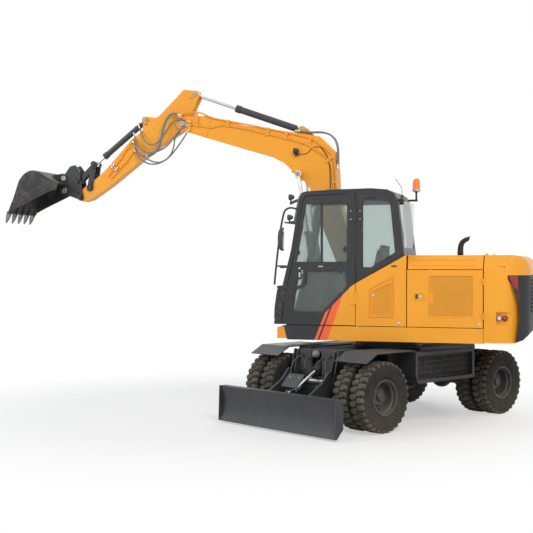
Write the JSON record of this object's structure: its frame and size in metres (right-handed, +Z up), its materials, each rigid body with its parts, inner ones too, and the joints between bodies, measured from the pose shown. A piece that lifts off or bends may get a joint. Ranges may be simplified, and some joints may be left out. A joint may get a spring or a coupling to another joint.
{
  "type": "wheeled excavator",
  "caption": "Wheeled excavator with twin tyres, front dozer blade, slewing upper structure with cab and engine housing, boom, arm, quick coupler and bucket.",
  "frame": {"origin": "middle of the overall box on the ground, as the machine stands in its stored pose", "axes": "+X the way the boom points, +Y to the upper structure's left side, +Z up; the undercarriage is turned 60 degrees to the left of the boom"},
  "size_m": [7.72, 4.2525, 4.561],
  "materials": {
    "body_paint": "gloss",
    "cab_paint": "satin",
    "frame_paint": "satin",
    "rim_paint": "satin",
    "tread": "matte",
    "rod_chrome": "polished",
    "window": "gloss",
    "seat_cover": "matte",
    "controls": "matte",
    "amber_lens": "gloss",
    "engine_iron": "matte",
    "bucket_steel": "matte",
    "grey_steel": "satin"
  },
  "bodies": {
    "undercarriage": {"chassis": "frame_paint", "slewing_ring": "frame_paint", "front_axle": "frame_paint", "rear_axle": "frame_paint", "steering_cylinder": "grey_steel", "drive_line": "frame_paint", "front_fenders": "frame_paint", "side_boxes": "frame_paint"},
    "knuckle_left": {"knuckle_left": "frame_paint"},
    "knuckle_right": {"knuckle_right": "frame_paint"},
    "wheel_front_left": {"rims_front_left": "rim_paint", "tyres_front_left": "tread"},
    "wheel_front_right": {"rims_front_right": "rim_paint", "tyres_front_right": "tread"},
    "wheel_rear_left": {"rims_rear_left": "rim_paint", "tyres_rear_left": "tread"},
    "wheel_rear_right": {"rims_rear_right": "rim_paint", "tyres_rear_right": "tread"},
    "blade": {"blade": "frame_paint"},
    "blade_cylinder_barrel": {"blade_cylinder_barrel": "frame_paint"},
    "blade_cylinder_rod": {"blade_cylinder_rod": "rod_chrome"},
    "upper": {"upper_frame": "frame_paint", "skirts": "body_paint", "counterweight": "body_paint", "engine": "engine_iron", "hood_frame": "cab_paint", "side_tank": "body_paint", "cab_shell": "cab_paint", "cab_glass": "window", "seat": "seat_cover", "cab_controls": "controls", "mirrors": "controls", "beacon": "amber_lens", "rear_hood": "cab_paint"},
    "engine_hood": {"engine_hood": "body_paint", "exhaust": "grey_steel"},
    "service_door": {"service_door": "body_paint"},
    "engine_door": {"engine_door": "body_paint"},
    "right_door": {"right_door": "body_paint"},
    "cab_door": {"cab_door": "cab_paint", "door_glass": "window"},
    "boom": {"boom": "body_paint", "work_lamp": "controls"},
    "boom_cylinder_barrels": {"boom_cylinder_barrels": "body_paint"},
    "boom_cylinder_rods": {"boom_cylinder_rods": "rod_chrome"},
    "arm_cylinder_barrel": {"arm_cylinder_barrel": "body_paint"},
    "arm_cylinder_rod": {"arm_cylinder_rod": "rod_chrome"},
    "arm": {"arm": "body_paint"},
    "bucket_cylinder_barrel": {"bucket_cylinder_barrel": "body_paint"},
    "bucket_cylinder_rod": {"bucket_cylinder_rod": "rod_chrome"},
    "rocker": {"rocker": "frame_paint"},
    "push_link": {"push_link": "frame_paint"},
    "bucket": {"coupler": "frame_paint", "bucket": "bucket_steel"}
  },
  "joints": [
    {"name": "swing", "type": "hinge", "parent": "undercarriage", "child": "upper", "pos_m": [-1.91, -0.2176, 1], "axis": [0, 0, 1], "continuous": true},
    {"name": "steering_left", "type": "hinge", "parent": "undercarriage", "child": "knuckle_left", "pos_m": [-1.68971, 1.06395, 0.4325], "axis": [0, 0, 1], "range_deg": [-22, 22]},
    {"name": "steering_right", "type": "hinge", "parent": "undercarriage", "child": "knuckle_right", "pos_m": [-0.91029, 0.61395, 0.4325], "axis": [0, 0, 1], "range_deg": [-22, 22]},
    {"name": "wheel_front_left", "type": "hinge", "parent": "knuckle_left", "child": "wheel_front_left", "pos_m": [-1.98806, 1.2362, 0.4325], "axis": [-0.866, 0.5, 0], "continuous": true},
    {"name": "wheel_front_right", "type": "hinge", "parent": "knuckle_right", "child": "wheel_front_right", "pos_m": [-0.61194, 0.4417, 0.4325], "axis": [-0.866, 0.5, 0], "continuous": true},
    {"name": "wheel_rear_left", "type": "hinge", "parent": "undercarriage", "child": "wheel_rear_left", "pos_m": [-3.18806, -0.84226, 0.4325], "axis": [-0.866, 0.5, 0], "continuous": true},
    {"name": "wheel_rear_right", "type": "hinge", "parent": "undercarriage", "child": "wheel_rear_right", "pos_m": [-1.81194, -1.63676, 0.4325], "axis": [-0.866, 0.5, 0], "continuous": true},
    {"name": "blade_lift", "type": "hinge", "parent": "undercarriage", "child": "blade", "pos_m": [-1.2, 1.01216, 0.455], "axis": [0.866, -0.5, 0], "range_deg": [-10, 25]},
    {"name": "blade_cylinder_pivot", "type": "hinge", "parent": "undercarriage", "child": "blade_cylinder_barrel", "pos_m": [-1.37, 0.71771, 0.868], "axis": [0.866, -0.5, 0], "range_deg": [-4.5, 10]},
    {"name": "blade_cylinder_stroke", "type": "slide", "parent": "blade_cylinder_barrel", "child": "blade_cylinder_rod", "axis": [0.4298, 0.7444, -0.511], "range_m": [-0.095, 0.04]},
    {"name": "boom_lift", "type": "hinge", "parent": "upper", "child": "boom", "pos_m": [-1.56, -0.3676, 1.45], "axis": [0, -1, 0], "range_deg": [-55, 8]},
    {"name": "boom_cylinder_pivot", "type": "hinge", "parent": "upper", "child": "boom_cylinder_barrels", "pos_m": [-1.01, -0.3676, 1.18], "axis": [0, -1, 0], "range_deg": [-58, 9]},
    {"name": "boom_cylinder_stroke", "type": "slide", "parent": "boom_cylinder_barrels", "child": "boom_cylinder_rods", "axis": [0.1613, 0, 0.9869], "range_m": [-0.56, 0.085]},
    {"name": "arm_swing", "type": "hinge", "parent": "boom", "child": "arm", "pos_m": [1.099, -0.3676, 4.066], "axis": [0, 1, 0], "range_deg": [-34, 66]},
    {"name": "arm_cylinder_pivot", "type": "hinge", "parent": "boom", "child": "arm_cylinder_barrel", "pos_m": [-0.675, -0.3676, 3.907], "axis": [0, 1, 0], "range_deg": [-2, 4]},
    {"name": "arm_cylinder_stroke", "type": "slide", "parent": "arm_cylinder_barrel", "child": "arm_cylinder_rod", "axis": [0.9395, 0, 0.3426], "range_m": [-0.245, 0.47]},
    {"name": "bucket_curl", "type": "hinge", "parent": "arm", "child": "bucket", "pos_m": [2.748, -0.3676, 3.041], "axis": [0, 1, 0], "range_deg": [-30, 120]},
    {"name": "rocker_pivot", "type": "hinge", "parent": "arm", "child": "rocker", "pos_m": [2.587, -0.3676, 3.173], "axis": [0, 1, 0], "range_deg": [-25, 97]},
    {"name": "push_link_pivot", "type": "hinge", "parent": "bucket", "child": "push_link", "pos_m": [2.791, -0.3676, 3.275], "axis": [0, 1, 0], "range_deg": [-82, 22]},
    {"name": "bucket_cylinder_pivot", "type": "hinge", "parent": "arm", "child": "bucket_cylinder_barrel", "pos_m": [1.71, -0.3676, 4.15], "axis": [0, 1, 0], "range_deg": [-6.5, 2]},
    {"name": "bucket_cylinder_stroke", "type": "slide", "parent": "bucket_cylinder_barrel", "child": "bucket_cylinder_rod", "axis": [0.7953, 0, -0.6062], "range_m": [-0.135, 0.52]},
    {"name": "cab_door", "type": "hinge", "parent": "upper", "child": "cab_door", "pos_m": [-1.698, 0.8254, 2.3], "axis": [0, 0, 1], "range_deg": [0, 160]},
    {"name": "service_door", "type": "hinge", "parent": "upper", "child": "service_door", "pos_m": [-1.72, 0.8024, 1.5], "axis": [0, 0, 1], "range_deg": [-75, 0]},
    {"name": "engine_door", "type": "hinge", "parent": "upper", "child": "engine_door", "pos_m": [-3.286, 0.8254, 1.6], "axis": [0, 0, 1], "range_deg": [0, 75]},
    {"name": "right_door", "type": "hinge", "parent": "upper", "child": "right_door", "pos_m": [-3.286, -1.2606, 1.6], "axis": [0, 0, 1], "range_deg": [-75, 0]},
    {"name": "engine_hood", "type": "hinge", "parent": "upper", "child": "engine_hood", "pos_m": [-3.286, -0.2176, 2.16], "axis": [0, -1, 0], "range_deg": [0, 55]}
  ],
  "couplings": [
    {"joint": "steering_right", "follows": "steering_left", "ratio": 1},
    {"joint": "blade_cylinder_pivot", "follows": "blade_lift", "ratio": 0.38},
    {"joint": "blade_cylinder_stroke", "follows": "blade_lift", "m_per_rad": -0.206},
    {"joint": "boom_cylinder_pivot", "follows": "boom_lift", "ratio": 1.04},
    {"joint": "boom_cylinder_stroke", "follows": "boom_lift", "m_per_rad": 0.576},
    {"joint": "arm_cylinder_pivot", "follows": "arm_swing", "ratio": 0.05},
    {"joint": "arm_cylinder_stroke", "follows": "arm_swing", "m_per_rad": 0.4},
    {"joint": "rocker_pivot", "follows": "bucket_curl", "ratio": 0.8},
    {"joint": "push_link_pivot", "follows": "bucket_curl", "ratio": -0.66},
    {"joint": "bucket_cylinder_pivot", "follows": "bucket_curl", "ratio": -0.05},
    {"joint": "bucket_cylinder_stroke", "follows": "bucket_curl", "m_per_rad": 0.246}
  ]
}
